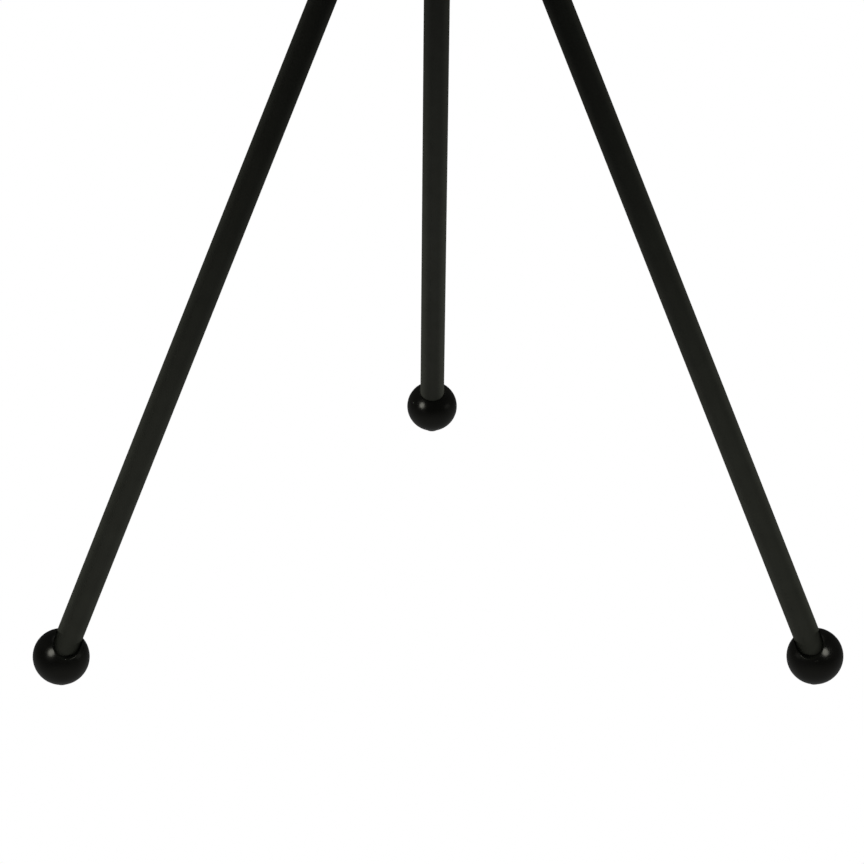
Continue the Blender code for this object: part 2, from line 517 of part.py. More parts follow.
def yoke(tilt):
    """The bent strap, its rubber liner, and the screws and rivets that hold them."""
    half = YOKE_WIDTH / 2
    strap = prism(ribbon(half_path(0, YOKE_ARM, True), YOKE_STRAP), -half, half)
    strap = place("yoke_frame", strap, MATTE_BLACK, tilt, rotation=UPRIGHT)
    inset = YOKE_STRAP / 2 + GAP + LINER / 2
    liner = ribbon(half_path(inset, YOKE_ARM - 4 * MM, False), LINER)
    liner = prism(liner, -half + MM, half - MM, 0.8 * MM)
    liner = place("yoke_liner", liner, RUBBER, tilt, rotation=UPRIGHT)
    strap_holes, liner_holes = [], []
    top = STRAP_Z + YOKE_STRAP / 2
    sink = YOKE_STRAP - 0.8 * MM
    for side, x in (("left", -SCREW_X), ("right", SCREW_X)):
        profile = [(0, top - 10 * MM), (SCREW_R, top - 10 * MM), (SCREW_R, top - sink)]
        profile += [(SCREW_HEAD_R, top - 0.2 * MM), (0, top - 0.2 * MM)]
        place(f"yoke_screw_{side}", turned(profile), ZINC, tilt, (x, 0, 0))
        room = [(0, top - 6 * MM), (SCREW_R + GAP, top - 6 * MM), (SCREW_R + GAP, top - sink - GAP)]
        room += [(SCREW_HEAD_R + 0.5 * MM, top + 0.1 * MM), (0, top + 0.1 * MM)]
        strap_holes.append(place(f"{side}_screw_hole", turned(room), ZINC, tilt, (x, 0, 0)))
    inner = -YOKE_STRAP / 2 - GAP - LINER
    dish = inner + 1.6 * MM
    outer = YOKE_STRAP / 2 + GAP
    for name, at in rivet_frames(tilt).items():
        profile = [(0, inner + 0.4 * MM), (2.2 * MM, inner + 0.4 * MM), (3.2 * MM, dish), (RIVET_R, dish)]
        profile += [(RIVET_R, outer), (3.2 * MM, outer), (2.6 * MM, outer + 1.1 * MM), (0, outer + 1.5 * MM)]
        place(name, turned(profile), BLACK_STEEL, at)
        room = [(0, inner - MM), (3.6 * MM, inner - MM), (3.6 * MM, dish + GAP), (RIVET_R + GAP, dish + GAP)]
        room += [(RIVET_R + GAP, outer + MM), (0, outer + MM)]
        liner_holes.append(place(f"{name}_liner_hole", turned(room), ZINC, at))
        strap_holes.append(place(f"{name}_strap_hole", rod(RIVET_R + GAP, -3 * MM, 3 * MM), ZINC, at))
    combine(liner, liner_holes, "DIFFERENCE")
    combine(strap, strap_holes, "DIFFERENCE")


def build():
    stand = frame("stand_frame", (0, AXIS_Y, 0))
    hub_frame = frame("hub_frame", (0, 0, PIVOT_Z), parent=stand)
    clamp_frame = frame("clamp_frame", (0, 0, CLAMP_Z), UPRIGHT, hub_frame)
    tilt = frame("tilt_frame", (0, 0, TILT_Z), parent=stand)
    pivots = {side: leg_assembly(side, azimuth, hub_frame) for side, azimuth in LEG_AZIMUTHS.items()}
    hub(pivots, hub_frame, clamp_frame)
    column_bush(hub_frame, clamp_frame)
    column_clamp(clamp_frame)
    column(stand)
    pan_pivot(stand, tilt)
    tilt_fixings(tilt)
    tilt_block(tilt)
    yoke(tilt)


build()
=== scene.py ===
"""The tripod hunting stand's looks: fine pieces built over the CAD's, their materials, and a studio."""

import json
import math

import bmesh
import bpy
from mathutils import Matrix, Vector


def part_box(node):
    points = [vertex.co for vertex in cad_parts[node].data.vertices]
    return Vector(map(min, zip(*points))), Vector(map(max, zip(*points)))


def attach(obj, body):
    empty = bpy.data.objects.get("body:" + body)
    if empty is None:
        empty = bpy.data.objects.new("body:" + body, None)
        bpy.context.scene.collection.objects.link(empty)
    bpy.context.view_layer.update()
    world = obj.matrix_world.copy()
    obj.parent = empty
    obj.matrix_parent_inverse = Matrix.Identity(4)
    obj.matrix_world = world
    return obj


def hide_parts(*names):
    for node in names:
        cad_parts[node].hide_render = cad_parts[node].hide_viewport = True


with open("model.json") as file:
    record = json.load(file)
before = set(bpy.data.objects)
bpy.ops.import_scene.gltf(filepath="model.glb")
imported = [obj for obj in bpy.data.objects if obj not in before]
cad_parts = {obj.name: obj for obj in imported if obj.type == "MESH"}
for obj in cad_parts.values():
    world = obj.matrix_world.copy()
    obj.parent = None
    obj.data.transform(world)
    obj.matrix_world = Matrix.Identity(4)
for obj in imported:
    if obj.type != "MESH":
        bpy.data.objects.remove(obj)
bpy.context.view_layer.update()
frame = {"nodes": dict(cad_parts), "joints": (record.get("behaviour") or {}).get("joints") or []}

MM = 0.001
GAP = 0.3 * MM
SLIVER = 0.002 * MM
FINE = "_fine"  # ends the names of the pieces and materials made here
SIDES = ("left", "right", "rear")
X, Y, Z = Vector((1, 0, 0)), Vector((0, 1, 0)), Vector((0, 0, 1))
JOINTS = {joint["name"]: joint for joint in frame["joints"]}
RIDERS = {}  # the fine pieces of each body


# ---- where things are, from the frame --------------------------------------------------------------


def axes(origin, x, y, z):
    matrix = Matrix((x, y, z)).transposed().to_4x4()
    matrix.translation = origin
    return matrix


def shifted(matrix, x=0, y=0, z=0):
    return matrix @ Matrix.Translation((x, y, z))


def pivot_frame(side):
    """X points away from the hub, Y along the pivot bolt."""
    joint = JOINTS[f"{side}_leg_fold"]
    along = Vector(joint["axis"])
    return axes(Vector(joint["pos_m"]), along.cross(Z), along, Z)


def node_points(node, matrix):
    """A CAD node's vertices in a local frame."""
    to_local = matrix.inverted()
    return [to_local @ vert.co for vert in frame["nodes"][node].data.vertices]


def measure(node, matrix):
    """A CAD node's greatest radius about Z, and its lowest and highest Z, in a local frame."""
    points = node_points(node, matrix)
    heights = [point.z for point in points]
    return max(math.hypot(point.x, point.y) for point in points), min(heights), max(heights)


def leg_frame(side):
    """The pivot's frame tilted, so that Z points up the leg."""
    pivot = pivot_frame(side)
    points = node_points(f"{side}_leg_tube", pivot)
    up = -sum(points, Vector()).normalized()
    up.y = 0
    along = pivot.to_3x3() @ up.normalized()
    y = pivot.to_3x3() @ Y
    return axes(pivot.translation, y.cross(along), y, along)


PIVOT = {side: pivot_frame(side) for side in SIDES}
LEG = {side: leg_frame(side) for side in SIDES}
AXIS_Y = JOINTS["head_pan"]["pos_m"][1]
STAND = Matrix.Translation((0, AXIS_Y, 0))
HUB = shifted(STAND, z=JOINTS["left_leg_fold"]["pos_m"][2])
CLAMP = axes((0, AXIS_Y, JOINTS["clamp_turn"]["pos_m"][2]), X, Z, -Y)
PAN_LOCK = axes((0, AXIS_Y, JOINTS["pan_lock_turn"]["pos_m"][2]), X, Z, -Y)
TILT = Matrix.Translation(JOINTS["yoke_tilt"]["pos_m"])
ALONG_X = axes((0, 0, 0), -Z, Y, X)  # turns Z into X
ALONG_Y = axes((0, 0, 0), X, -Z, Y)  # turns Z into Y
SIDEWAYS = axes((0, 0, 0), Y, Z, X)  # turns an XY outline into the YZ plane
UPRIGHT = axes((0, 0, 0), X, Z, -Y)  # turns an XY outline into the XZ plane


# ---- making meshes ---------------------------------------------------------------------------------


def arc(centre, radius, start, end, pieces):
    """Points on an arc, both ends included, with the angles in degrees."""
    angles = [math.radians(start + (end - start) * i / pieces) for i in range(pieces + 1)]
    return [(centre[0] + radius * math.cos(a), centre[1] + radius * math.sin(a)) for a in angles]


def rounded(corners, pieces=4):
    """A line through (x, y, fillet) corners, each with a fillet replaced by its arc."""
    points = []
    for i, (x, y, fillet) in enumerate(corners):
        if not fillet:
            points.append((x, y))
            continue
        here = Vector((x, y))
        back = (Vector(corners[i - 1][:2]) - here).normalized()
        ahead = (Vector(corners[(i + 1) % len(corners)][:2]) - here).normalized()
        half = back.angle(ahead) / 2
        centre = here + (back + ahead).normalized() * fillet / math.sin(half)
        first = here + back * fillet / math.tan(half) - centre
        last = here + ahead * fillet / math.tan(half) - centre
        turn = math.atan2(first.x * last.y - first.y * last.x, first.dot(last))
        for step in range(pieces + 1):
            points.append(tuple(centre + Matrix.Rotation(turn * step / pieces, 2) @ first))
    return points


def shell(rings, count=96):
    """A closed skin through rings about Z. A ring is (radius, height), its radius a number or a function
    of angle."""
    bm = bmesh.new()
    loops = []
    for radius, height in rings:
        loop = []
        for i in range(1 if radius == 0 else count):
            angle = math.tau * i / count
            reach = radius(angle) if callable(radius) else radius
            loop.append(bm.verts.new((reach * math.cos(angle), reach * math.sin(angle), height)))
        loops.append(loop)
    if rings[0][0] != 0:
        loops.append(loops[0])
    for low, high in zip(loops, loops[1:]):
        for i in range(count):
            j = (i + 1) % count
            corners = (low[i % len(low)], low[j % len(low)], high[j % len(high)], high[i % len(high)])
            bm.faces.new(dict.fromkeys(corners))
    return bm


def prism(outline, low, high, edge=0.0, segments=3):
    """The outline of (x, y) points extruded along Z, with both ends' edges rounded."""
    bm = bmesh.new()
    face = bm.faces.new([bm.verts.new((x, y, low)) for x, y in outline])
    moved = bmesh.ops.extrude_face_region(bm, geom=[face])["geom"]
    moved = [item for item in moved if isinstance(item, bmesh.types.BMVert)]
    bmesh.ops.translate(bm, verts=moved, vec=(0, 0, high - low))
    if edge:
        ends = [e for e in bm.edges if abs(e.verts[0].co.z - e.verts[1].co.z) < 1e-7]
        bmesh.ops.bevel(bm, geom=ends, offset=edge, segments=segments, profile=0.5, affect="EDGES")
    return bm


def fluted(radius, depth, lobes):
    """A grip's radius as a function of angle."""
    return lambda angle: radius - depth * (0.5 - 0.5 * math.cos(lobes * angle)) ** 1.2


def hexagon(flats, limit=1.0):
    """A hexagon's radius as a function of angle, cut off at a limit."""
    sixth = math.radians(60)
    return lambda angle: min(flats / 2 / math.cos((angle + sixth / 2) % sixth - sixth / 2), limit)


def piece(name, bm, matrix):
    bmesh.ops.recalc_face_normals(bm, faces=bm.faces)
    mesh = bpy.data.meshes.new(name)
    bm.to_mesh(mesh)
    bm.free()
    obj = bpy.data.objects.new(name, mesh)
    bpy.context.scene.collection.objects.link(obj)
    obj.matrix_world = matrix
    return obj


def weld(mesh, triangulate=False):
    """Closes the slivers that a Boolean or a bevel leaves. Triangles keep a Boolean exact on curved faces."""
    bm = bmesh.new()
    bm.from_mesh(mesh)
    bmesh.ops.remove_doubles(bm, verts=bm.verts, dist=SLIVER)
    bmesh.ops.dissolve_degenerate(bm, dist=SLIVER, edges=bm.edges)
    if triangulate:
        bmesh.ops.triangulate(bm, faces=bm.faces)
    bm.to_mesh(mesh)
    bm.free()


def apply_modifiers(obj, triangulate=False):
    bpy.context.view_layer.update()
    evaluated = obj.evaluated_get(bpy.context.evaluated_depsgraph_get())
    mesh = bpy.data.meshes.new_from_object(evaluated)
    obj.modifiers.clear()
    weld(mesh, triangulate)
    obj.data = mesh


def combine(obj, helpers, operation, triangulate=True):
    """Joins the helpers to the piece, or cuts them from it, one after another, and removes them."""
    for helper in helpers:
        modifier = obj.modifiers.new("combine", "BOOLEAN")
        modifier.operation = operation
        modifier.solver = "EXACT"
        modifier.object = helper
        apply_modifiers(obj, triangulate)
        bpy.data.objects.remove(helper)


def cast(obj, voxel, passes):
    """Melts the joints between a casting's parts into small fillets."""
    remesh = obj.modifiers.new("remesh", "REMESH")
    remesh.mode = "VOXEL"
    remesh.voxel_size = voxel
    smooth = obj.modifiers.new("smooth", "SMOOTH")
    smooth.factor = 0.5
    smooth.iterations = passes
    apply_modifiers(obj, triangulate=True)


def bore(name, radius, low, high, matrix, rim=0.4 * MM, count=64, open_below=True):
    """A cutter for a round hole, with a countersink of width rim where an end reaches the surface."""
    far = 2 * MM
    profile = [(0, low - far), (radius + rim + far, low - far), (radius, low + rim)]
    if not open_below:
        profile = [(0, low), (radius, low)]
    profile += [(radius, high - rim), (radius + rim + far, high + far), (0, high + far)]
    return piece(name, shell(profile, count), matrix)


def done(obj, body, material, *nodes, angle=32):
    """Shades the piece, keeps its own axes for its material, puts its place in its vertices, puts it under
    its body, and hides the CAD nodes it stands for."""
    local = obj.data.attributes.new("local", "FLOAT_VECTOR", "POINT")
    local.data.foreach_set("vector", [value for vert in obj.data.vertices for value in vert.co])
    obj.data.transform(obj.matrix_world)
    obj.matrix_world = Matrix.Identity(4)
    RIDERS.setdefault(body, []).append(obj)
    obj.data.materials.clear()
    obj.data.materials.append(material)
    obj.data.shade_smooth()
    obj.data.set_sharp_from_angle(angle=math.radians(angle))
    weighted = obj.modifiers.new("weighted", "WEIGHTED_NORMAL")
    weighted.keep_sharp = True
    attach(obj, body)
    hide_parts(*nodes)
    return obj


# ---- materials -------------------------------------------------------------------------------------


class Nodes:
    """Adds nodes to a material and links them."""

    def __init__(self, name):
        self.material = bpy.data.materials.new(name + FINE)
        self.material.use_nodes = True
        self.tree = self.material.node_tree
        self.shader = self.tree.nodes["Principled BSDF"]
        self.place = self.add("ShaderNodeAttribute", attribute_name="local").outputs["Vector"]

    def add(self, kind, inputs=(), **settings):
        node = self.tree.nodes.new(kind)
        for key, value in settings.items():
            setattr(node, key, value)
        for key, value in dict(inputs).items():
            self.feed(node.inputs[key], value)
        return node

    def feed(self, socket, value):
        if isinstance(value, bpy.types.NodeSocket):
            self.tree.links.new(value, socket)
        else:
            socket.default_value = value

    def noise(self, scale, detail=3.0, roughness=0.5, stretch=None):
        place = self.place
        if stretch:
            place = self.add("ShaderNodeMapping", {"Vector": place, "Scale": stretch}).outputs[0]
        settings = {"Vector": place, "Scale": scale, "Detail": detail, "Roughness": roughness}
        return self.add("ShaderNodeTexNoise", settings).outputs["Fac"]

    def spread(self, value, low, high, to_low=0.0, to_high=1.0):
        settings = {"Value": value, 1: low, 2: high, 3: to_low, 4: to_high}
        return self.add("ShaderNodeMapRange", settings).outputs[0]

    def mix(self, factor, a, b):
        node = self.add("ShaderNodeMix", data_type="RGBA")
        self.feed(node.inputs["Factor"], factor)
        self.feed(node.inputs[6], a)
        self.feed(node.inputs[7], b)
        return node.outputs[2]

    def times(self, a, b):
        return self.add("ShaderNodeMath", {0: a, 1: b}, operation="MULTIPLY").outputs[0]

    def bump(self, height, distance, normal=None):
        settings = {"Height": height, "Distance": distance, "Strength": 1.0}
        if normal:
            settings["Normal"] = normal
        return self.add("ShaderNodeBump", settings).outputs[0]


GLOSS_TINT = (1.0, 0.99, 0.87)


def rgb(colour, gain=1.0):
    return (*(channel * gain for channel in colour), 1)


def coat(name, colour, rough, grain, depth, specular=0.4, dust=0.0, wear=0.0, vary=0.25):
    """A coated or moulded surface: soft blotches, a fine grain, worn edges and a little dust on top."""
    nodes = Nodes(name)
    blotch = nodes.spread(nodes.noise(70, 4), 0.3, 0.7)
    base = nodes.mix(blotch, rgb(colour, 1 - vary), rgb(colour, 1 + vary))
    roughness = nodes.spread(nodes.noise(240, 3), 0.3, 0.7, rough - 0.06, rough + 0.06)
    if dust:
        normal = nodes.add("ShaderNodeNewGeometry").outputs["Normal"]
        up = nodes.add("ShaderNodeSeparateXYZ", {0: normal}).outputs["Z"]
        specks = nodes.spread(nodes.noise(900, 6, 0.7), 0.5, 0.75)
        settled = nodes.times(nodes.times(nodes.spread(up, 0.1, 1.0), specks), dust)
        base = nodes.mix(settled, base, (0.3, 0.28, 0.24, 1))
    if wear:
        edge = nodes.add("ShaderNodeNewGeometry").outputs["Pointiness"]
        edge = nodes.spread(edge, 0.53, 0.6)
        worn = nodes.times(nodes.times(edge, nodes.spread(nodes.noise(500, 5, 0.65), 0.42, 0.6)), wear)
        base = nodes.mix(worn, base, (0.16, 0.16, 0.15, 1))
        roughness = nodes.add("ShaderNodeMath", {0: roughness, 1: nodes.times(worn, -0.2)}).outputs[0]
    nodes.feed(nodes.shader.inputs["Base Color"], base)
    nodes.feed(nodes.shader.inputs["Roughness"], roughness)
    nodes.feed(nodes.shader.inputs["Specular IOR Level"], specular)
    wave = nodes.bump(nodes.noise(160, 2), depth * 1.5)
    nodes.feed(nodes.shader.inputs["Normal"], nodes.bump(nodes.noise(grain, 3, 0.6), depth, wave))
    return nodes.material


def gloss(name, colour, rough):
    """Polished plastic: nearly black, with faint swirls and hairline scratches."""
    nodes = Nodes(name)
    blotch = nodes.spread(nodes.noise(60, 4), 0.3, 0.7)
    nodes.feed(nodes.shader.inputs["Base Color"], nodes.mix(blotch, rgb(colour, 0.7), rgb(colour, 1.3)))
    nodes.feed(nodes.shader.inputs["Specular Tint"], rgb(GLOSS_TINT))
    smear = nodes.spread(nodes.noise(130, 5, 0.6), 0.35, 0.7, rough - 0.03, rough + 0.05)
    nodes.feed(nodes.shader.inputs["Roughness"], smear)
    wave = nodes.bump(nodes.noise(90, 2), 0.01 * MM)
    scratch = nodes.noise(420, 2, 0.5, (1, 1, 9))
    nodes.feed(nodes.shader.inputs["Normal"], nodes.bump(scratch, 0.002 * MM, wave))
    return nodes.material


def metal(name, colour, rough, stretch=(1, 1, 14), tarnish=0.25):
    """Machined or plated metal, with fine tool marks round its axis and slight tarnish."""
    nodes = Nodes(name)
    blotch = nodes.spread(nodes.noise(150, 5, 0.6), 0.35, 0.7)
    base = nodes.mix(blotch, rgb(colour, 1 - tarnish), rgb(colour, 1.05))
    nodes.feed(nodes.shader.inputs["Base Color"], base)
    marks = nodes.noise(500, 3, 0.6, stretch)
    nodes.feed(nodes.shader.inputs["Roughness"], nodes.spread(marks, 0.3, 0.7, rough - 0.08, rough + 0.1))
    nodes.feed(nodes.shader.inputs["Metallic"], 1.0)
    nodes.feed(nodes.shader.inputs["Normal"], nodes.bump(marks, 0.006 * MM))
    return nodes.material


COAT = coat("tube_coat", (0.0215, 0.0224, 0.0178), 0.62, 2600, 0.012 * MM, specular=0.22, vary=0.07)
CAST = coat("cast_coat", (0.03, 0.031, 0.028), 0.56, 1500, 0.03 * MM, dust=0.12, wear=0.8)
STRAP_COAT = coat("strap_coat", (0.03, 0.031, 0.028), 0.48, 2200, 0.015 * MM, dust=0.06, wear=0.8)
BALL = gloss("ball_gloss", (0.0028, 0.0028, 0.0024), 0.22)
KNOB = coat("knob_plastic", (0.012, 0.012, 0.0115), 0.4, 1900, 0.03 * MM, wear=0.3)
RUBBER = coat("rubber", (0.012, 0.012, 0.0115), 0.82, 1300, 0.04 * MM, specular=0.3, dust=0.12)
NYLON = coat("nylon", (0.42, 0.41, 0.37), 0.5, 1200, 0.01 * MM, vary=0.06)
BRASS = metal("brass", (0.72, 0.55, 0.28), 0.35)
ZINC = metal("zinc_steel", (0.6, 0.6, 0.6), 0.36)
BLACK_STEEL = metal("black_steel", (0.055, 0.056, 0.06), 0.42)


# ---- turned pieces and fasteners -------------------------------------------------------------------


def inner_radius(node, matrix):
    return min(math.hypot(point.x, point.y) for point in node_points(node, matrix))


def turned_piece(node, bm, matrix, body, material):
    return done(piece(node + FINE, bm, matrix), body, material, node)


def ring(node, matrix, body, material, rim, count=96):
    """A tube or a washer with rounded edges, its sizes from the CAD node."""
    inner = inner_radius(node, matrix)
    outer, low, high = measure(node, matrix)
    corners = [(inner, low, rim), (outer, low, rim), (outer, high, rim), (inner, high, rim)]
    return turned_piece(node, shell(rounded(corners), count), matrix, body, material)


def thread(radius, pitch, low, high, lead=0.0):
    """Rings of a helical thread, running out at both ends."""
    depth = 0.6 * pitch
    count = max(2, round((high - low) / pitch * 8))
    rings = []
    for i in range(count + 1):
        z = low + (high - low) * i / count
        cut = depth * min(1, i / 8, (count - i + lead * 8) / 8)

        def reach(angle, z=z, cut=cut):
            wave = abs(2 * ((z / pitch - angle / math.tau) % 1) - 1)
            return radius - cut * wave

        rings.append((reach, z))
    return rings


def cap_bolt(node, matrix, body, radius, head_radius, flats, pitch, head_height):
    """A socket cap bolt along Z, its head at the low end."""
    _, top, end = measure(node, matrix)
    face = top + head_height
    floor = top + head_height * 0.5
    edge = 0.8 * MM
    rings = [(0, floor + 0.7 * MM), (hexagon(flats - 0.1 * MM), floor), (hexagon(flats), top + 0.35 * MM)]
    rings += [(flats / 2 + 0.45 * MM, top), *arc((head_radius - edge, top + edge), edge, -90, 0, 4)]
    grip = lambda angle: head_radius - 0.14 * MM * (0.5 - 0.5 * math.cos(32 * angle))
    rings += [(head_radius, top + 1.1 * MM), (grip, top + 1.3 * MM), (grip, face - 0.5 * MM)]
    rings += [(head_radius, face - 0.3 * MM), (head_radius - 0.3 * MM, face), (radius, face)]
    rings += thread(radius, pitch, end - 12 * MM, end - 0.6 * MM)
    rings += [(radius - 0.6 * MM, end), (0, end)]
    return turned_piece(node, shell(rings, 192), matrix, body, BLACK_STEEL)


def hex_nut(node, matrix, body, flats):
    """A nut with both ends chamfered on a cone, and a countersunk bore."""
    bore_radius = inner_radius(node, matrix)
    _, low, high = measure(node, matrix)
    flat_radius, corner_radius = flats * 0.48, flats / math.sqrt(3)
    steps = [i / 4 for i in range(5)]
    chamfer = [(flat_radius + (corner_radius - flat_radius) * t) for t in steps]
    drop = [(radius - flat_radius) * 0.5 for radius in chamfer]
    rings = [(bore_radius, low + 0.5 * MM), (bore_radius + 0.5 * MM, low), (flat_radius - 0.2 * MM, low)]
    rings += [(hexagon(flats, radius), low + depth) for radius, depth in zip(chamfer, drop)]
    rings += [(hexagon(flats, radius), high - depth) for radius, depth in zip(chamfer[::-1], drop[::-1])]
    rings += [(flat_radius - 0.2 * MM, high), (bore_radius + 0.5 * MM, high), (bore_radius, high - 0.5 * MM)]
    return turned_piece(node, shell(rings, 120), matrix, body, ZINC)


def knob(node, matrix, body, depth, lobes, edge, neck_radius, neck_height, bore_radius, bore_end):
    """A lobed grip on a round neck, with a dished face and a blind bore from below."""
    radius, low, high = measure(node, matrix)
    outline = fluted(radius, depth, lobes)
    under = low + neck_height

    def inset(amount):
        return lambda angle: outline(angle) - amount

    rings = [(0, bore_end), (bore_radius, bore_end)]
    rings += [(bore_radius, low + 0.5 * MM), (bore_radius + 0.5 * MM, low)]
    rings += arc((neck_radius - 0.6 * MM, low + 0.6 * MM), 0.6 * MM, -90, 0, 4)
    rings += [(neck_radius, under - 0.8 * MM)]
    rings += [(neck_radius + 0.25 * MM, under - 0.25 * MM), (neck_radius + 0.8 * MM, under)]
    for start, centre in ((-90, under + edge), (0, high - edge)):
        for offset, z in arc((0, centre), edge, start, start + 90, 6):
            rings.append((inset(edge - offset), z))
    dish = radius - depth - edge - 0.6 * MM
    rings += [(inset(edge + 0.3 * MM), high), (dish, high), (dish - 0.3 * MM, high - 0.1 * MM)]
    rings += [(dish - 0.9 * MM, high - 0.7 * MM), (dish - 1.3 * MM, high - 0.8 * MM)]
    rings += [(dish * 0.5, high - 0.7 * MM), (dish * 0.45, high - 0.3 * MM), (dish * 0.4, high - 0.2 * MM)]
    rings += [(dish * 0.2, high - 0.1 * MM), (0, high - 0.08 * MM)]
    return turned_piece(node, shell(rings, lobes * 28), matrix, body, KNOB)


# ---- legs ------------------------------------------------------------------------------------------

SLOT_FLOOR = 3 * MM  # over the ball's centre, as in the CAD
SLOT_TURNS = {"left": math.radians(60), "right": math.radians(-60), "rear": 0.0}  # from facing outward
EYE_R, TONGUE_HALF, TONGUE_HALF_WIDTH = 10 * MM, 6 * MM, 8.5 * MM
COLLAR_SEAT, COLLAR_TOP = -30 * MM, -21 * MM
BOLT_HOLE_R = 3.3 * MM


def foot(side):
    """The ball, bored and slotted for the tube, the glide pad in its pocket, and what holds the ball on."""
    leg, body = LEG[side], f"{side}_leg"
    radius, low, _ = measure(f"{side}_foot_ball", leg)
    ball = shifted(leg, z=low + radius)
    ground = Matrix.Translation(ball.translation)
    mouth = measure(f"{side}_foot_ball", ball)[2]
    tube_radius, tube_low, _ = measure(f"{side}_leg_tube", ball)
    insert_radius, insert_low, _ = measure(f"{side}_foot_insert", ball)
    seat, pocket_radius = tube_low - GAP, insert_radius + GAP
    bore_radius, slot_half = tube_radius + 0.5 * MM, tube_radius + GAP
    profile = [(0, -radius), *arc((0, 0), radius, -88.5, math.degrees(math.asin(mouth / radius)), 72)]
    profile += [(bore_radius, mouth), (bore_radius, seat), (pocket_radius, seat)]
    profile += [(pocket_radius, insert_low - GAP), (0, insert_low - GAP)]
    obj = piece(f"{side}_foot_ball{FINE}", shell(profile, 144), ball)
    middle = -SLOT_FLOOR - slot_half
    outside = 1.5 * radius
    outline = [(-outside, -slot_half), *arc((middle, 0), slot_half, -90, 90, 36), (-outside, slot_half)]
    turn = ball @ Matrix.Rotation(SLOT_TURNS[side], 4, "Z") @ ALONG_X
    slot = piece("slot", prism(outline, 0, outside), turn)
    pad_radius, pad_low, pad_high = measure(f"{side}_foot_pad", ground)
    pad_room = [(0, pad_low - MM), (pad_radius + GAP, pad_low - MM), (pad_radius + GAP, pad_high + GAP)]
    pocket = piece("pocket", shell([*pad_room, (0, pad_high + GAP)], 64), ground)
    combine(obj, [slot, pocket], "DIFFERENCE", triangulate=False)
    bevel = obj.modifiers.new("bevel", "BEVEL")
    bevel.width = 0.3 * MM
    bevel.segments = 3
    bevel.limit_method = "ANGLE"
    bevel.angle_limit = math.radians(40)
    apply_modifiers(obj)
    done(obj, body, BALL, f"{side}_foot_ball")
    pad = [(0, pad_low), (2 * MM, pad_low), (2.2 * MM, pad_low + 0.25 * MM), (2.8 * MM, pad_low + 0.25 * MM)]
    pad += [(3 * MM, pad_low), *arc((pad_radius - 0.3 * MM, pad_low + 0.3 * MM), 0.3 * MM, -90, 0, 4)]
    pad += [(pad_radius, pad_high), (0, pad_high)]
    turned_piece(f"{side}_foot_pad", shell(pad, 64), ground, body, RUBBER)
    ring(f"{side}_foot_plug", ball, body, NYLON, 0.4 * MM)
    ring(f"{side}_foot_insert", ball, body, BRASS, 0.3 * MM)
    stud_radius, stud_low, stud_high = measure(f"{side}_foot_stud", ball)
    stud = [(0, stud_low), (stud_radius - 0.6 * MM, stud_low)]
    stud += thread(stud_radius, 1.25 * MM, stud_low + 0.6 * MM, stud_high - 0.6 * MM)
    stud += [(stud_radius - 0.6 * MM, stud_high), (0, stud_high)]
    turned_piece(f"{side}_foot_stud", shell(stud, 48), ball, body, ZINC)


def knuckle(side):
    """The casting on the tube's top: a spigot, a collar, and a tongue that turns on the pivot bolt."""
    leg = LEG[side]
    node = f"{side}_leg_knuckle"
    _, low, _ = measure(node, leg)
    spigot_radius = inner_radius(f"{side}_leg_tube", leg) - GAP
    collar_radius = measure(f"{side}_leg_tube", leg)[0] + MM
    seat = COLLAR_SEAT + GAP
    corners = [(0, low, 0), (spigot_radius, low, MM), (spigot_radius, seat, 0)]
    corners += [(collar_radius, seat, 0.3 * MM), (collar_radius, COLLAR_TOP, 1.4 * MM), (0, COLLAR_TOP, 0)]
    obj = piece(node + FINE, shell(rounded(corners), 96), leg)

    def blend(t):
        def reach(angle):
            across, along = abs(math.sin(angle)) / TONGUE_HALF, abs(math.cos(angle)) / TONGUE_HALF_WIDTH
            oblong = (across**5 + along**5) ** -0.2
            return (collar_radius - 1.2 * MM) * (1 - t) + oblong * t

        return reach

    steps = [i / 8 for i in range(9)]
    rings = [(blend(t ** 0.5), COLLAR_TOP - 0.5 * MM + 6 * MM * t) for t in steps]
    rings = [(0, rings[0][1]), *rings, (0, rings[-1][1])]
    neck = piece("neck", shell(rings, 96), leg)
    tilt = leg.to_3x3().col[2].angle(Z)
    pivot_radius = (PIVOT[side].translation - HUB.translation).length
    face = CORE_R + GAP - pivot_radius
    corners = [(-4 * MM, 14 * MM), (face, 14 * MM), (face, 5 * MM)]
    turned = [tuple(Matrix.Rotation(-tilt, 2) @ Vector(corner)) for corner in corners]
    root = COLLAR_TOP - 3 * MM
    outline = [(TONGUE_HALF_WIDTH, root), *arc((0, 0), EYE_R, 0, 60, 20), *turned]
    outline += [(-EYE_R, 0), (-TONGUE_HALF_WIDTH, root)]
    tongue = piece("tongue", prism(outline, -TONGUE_HALF, TONGUE_HALF), leg @ UPRIGHT)
    combine(obj, [neck, tongue], "UNION")
    cast(obj, 0.5 * MM, 5)
    combine(obj, [bore("eye", BOLT_HOLE_R, -TONGUE_HALF, TONGUE_HALF, leg @ UPRIGHT)], "DIFFERENCE")
    done(obj, f"{side}_leg", CAST, node)


def leg_pieces(side):
    ring(f"{side}_leg_tube", LEG[side], f"{side}_leg", COAT, 0.4 * MM)
    foot(side)
    knuckle(side)
    along = PIVOT[side] @ ALONG_Y
    cap_bolt(f"{side}_pivot_bolt", along, "hub", 3 * MM, 5.2 * MM, 4 * MM, MM, 5 * MM)
    hex_nut(f"{side}_pivot_nut", along, "hub", 10 * MM)
    for where in ("front", "back"):
        ring(f"{side}_pivot_washer_{where}", along, "hub", NYLON, 0.2 * MM)


# ---- hub and column --------------------------------------------------------------------------------

